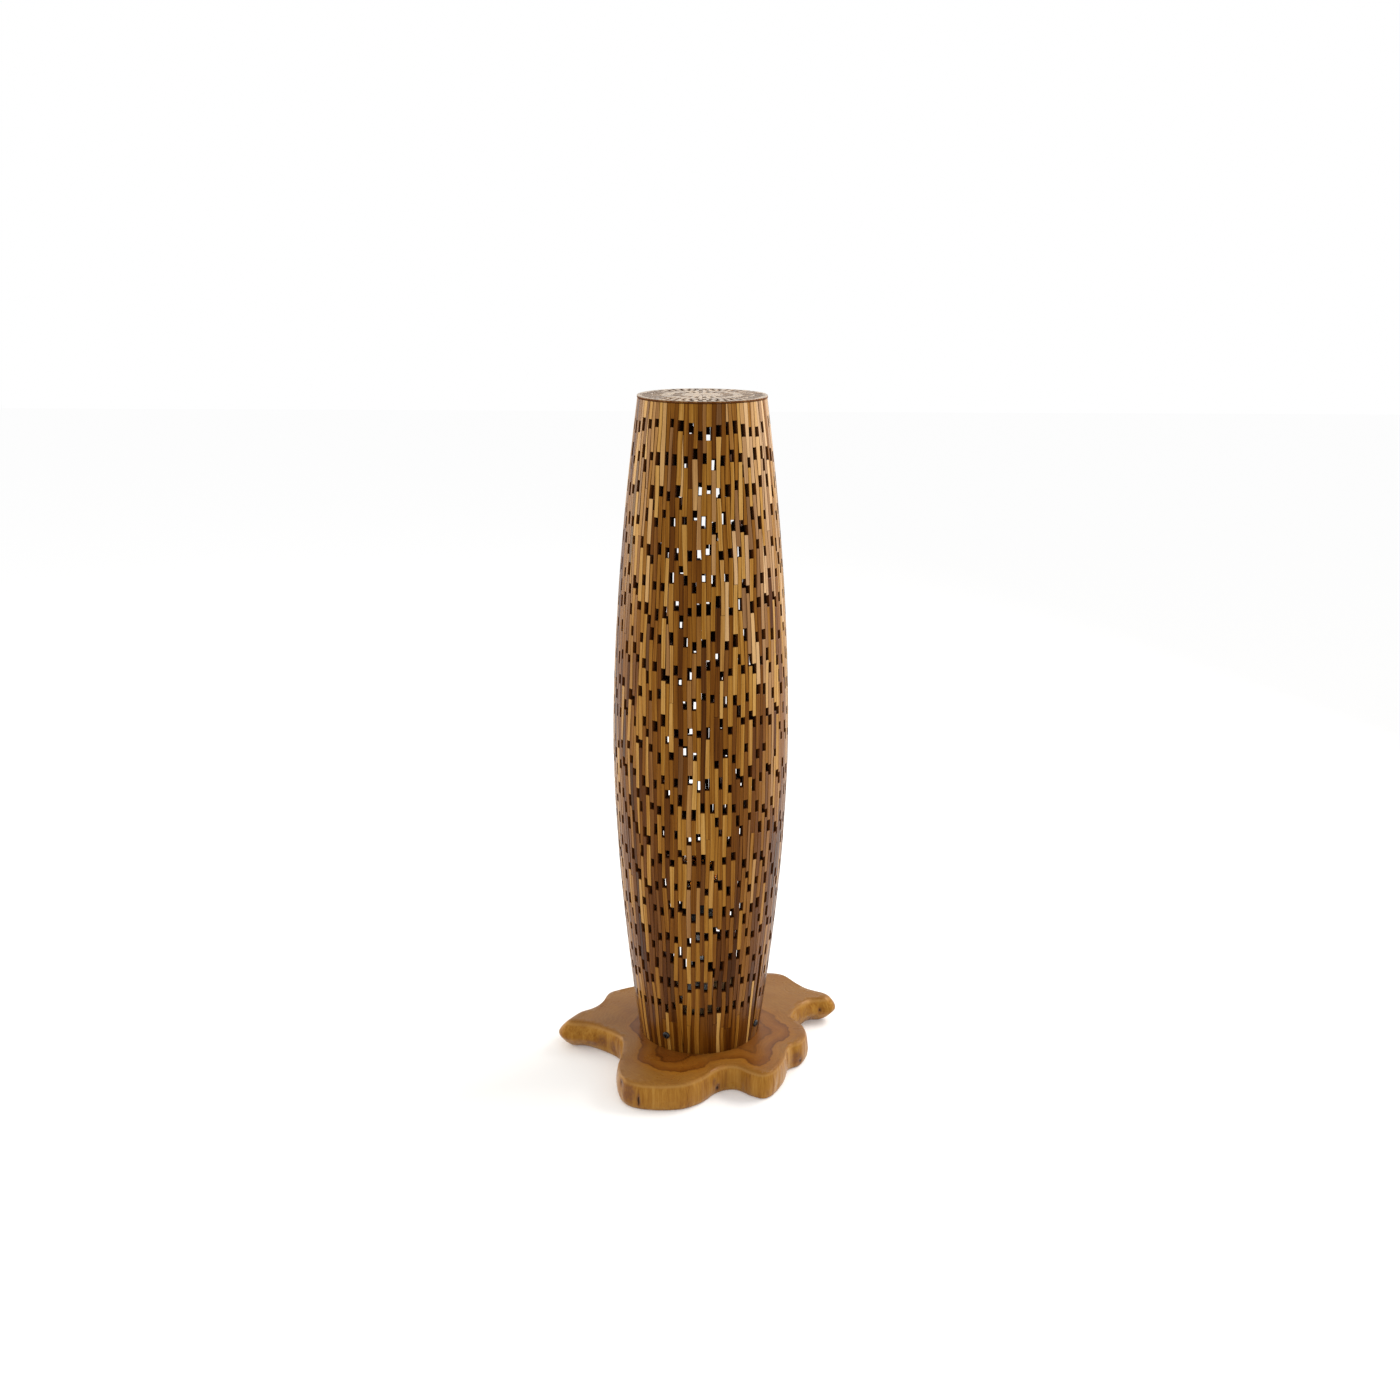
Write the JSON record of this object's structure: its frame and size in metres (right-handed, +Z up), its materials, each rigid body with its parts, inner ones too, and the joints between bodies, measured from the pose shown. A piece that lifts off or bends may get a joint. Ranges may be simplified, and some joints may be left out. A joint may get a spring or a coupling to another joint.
{
  "type": "lattice floor lamp",
  "caption": "Barrel-shaped floor lamp of glued wooden strips with small windows, closed by a flat lid, on a free-form root slab.",
  "frame": {"origin": "on the floor, under the axis of the shade, at the centre of the base slab's outline", "axes": "+Z up along the shade's axis; -Y towards the front, where two of the four shade screws show; +X to the right seen from the front"},
  "size_m": [0.4398, 0.3669, 1],
  "materials": {
    "slab_teak": "clear satin lacquer over live-edge teak root",
    "strip_teak": "clear gloss lacquer over teak strips of mixed tones",
    "lid_teak": "clear gloss lacquer over teak strips",
    "plinth_wood": "plain sawn and turned wood",
    "black_steel": "black oxide pan-head screws",
    "zinc_steel": "bright zinc plate",
    "black_rubber": "moulded black rubber",
    "black_bakelite": "moulded phenolic plastic",
    "holder_ceramic": "white steatite",
    "contact_brass": "plain brass",
    "bulb_solder": "soft solder",
    "bulb_black_glass": "black insulator",
    "bulb_nickel": "nickel-plated cap",
    "bulb_amber_glass": "blown amber glass",
    "bulb_clear_glass": "pressed clear glass",
    "bulb_phosphor": "yellow phosphor coating"
  },
  "bodies": {
    "root": {"base_slab": "slab_teak", "plinth": "plinth_wood", "plinth_screws": "zinc_steel", "shade_screws": "black_steel", "cable_grommet": "black_rubber", "shade_01": "strip_teak", "shade_02": "strip_teak", "shade_03": "strip_teak", "shade_04": "strip_teak", "shade_05": "strip_teak", "shade_06": "strip_teak", "shade_07": "strip_teak", "shade_08": "strip_teak", "shade_09": "strip_teak", "shade_10": "strip_teak", "shade_11": "strip_teak", "shade_12": "strip_teak", "shade_13": "strip_teak", "shade_14": "strip_teak", "shade_15": "strip_teak", "shade_16": "strip_teak", "shade_17": "strip_teak", "shade_18": "strip_teak", "shade_19": "strip_teak", "shade_20": "strip_teak", "shade_21": "strip_teak", "lid_centre": "lid_teak", "lid_middle": "lid_teak", "lid_rim": "lid_teak", "holder_bracket": "zinc_steel", "bracket_screws": "zinc_steel", "holder_tube": "zinc_steel", "tube_nuts": "zinc_steel", "holder_cap": "black_bakelite", "holder_body": "black_bakelite", "holder_insert": "holder_ceramic", "screw_shell": "contact_brass", "centre_contact": "contact_brass", "terminal_screws": "contact_brass"},
    "bulb_lift": {"bulb_tip": "bulb_solder"},
    "bulb": {"bulb_insulator": "bulb_black_glass", "bulb_cap": "bulb_nickel", "bulb_glass": "bulb_amber_glass", "bulb_stem": "bulb_clear_glass", "bulb_wires": "bulb_nickel", "bulb_filaments": "bulb_phosphor"}
  },
  "joints": [
    {"name": "bulb_advance", "type": "slide", "parent": "root", "child": "bulb_lift", "axis": [0, 0, 1], "range_m": [0, 0.0091]},
    {"name": "bulb_turn", "type": "hinge", "parent": "bulb_lift", "child": "bulb", "pos_m": [0, 0, 0.24], "axis": [0, 0, 1], "range_deg": [0, 900]}
  ],
  "couplings": [
    {"joint": "bulb_advance", "follows": "bulb_turn", "m_per_rad": 0.00057757}
  ]
}
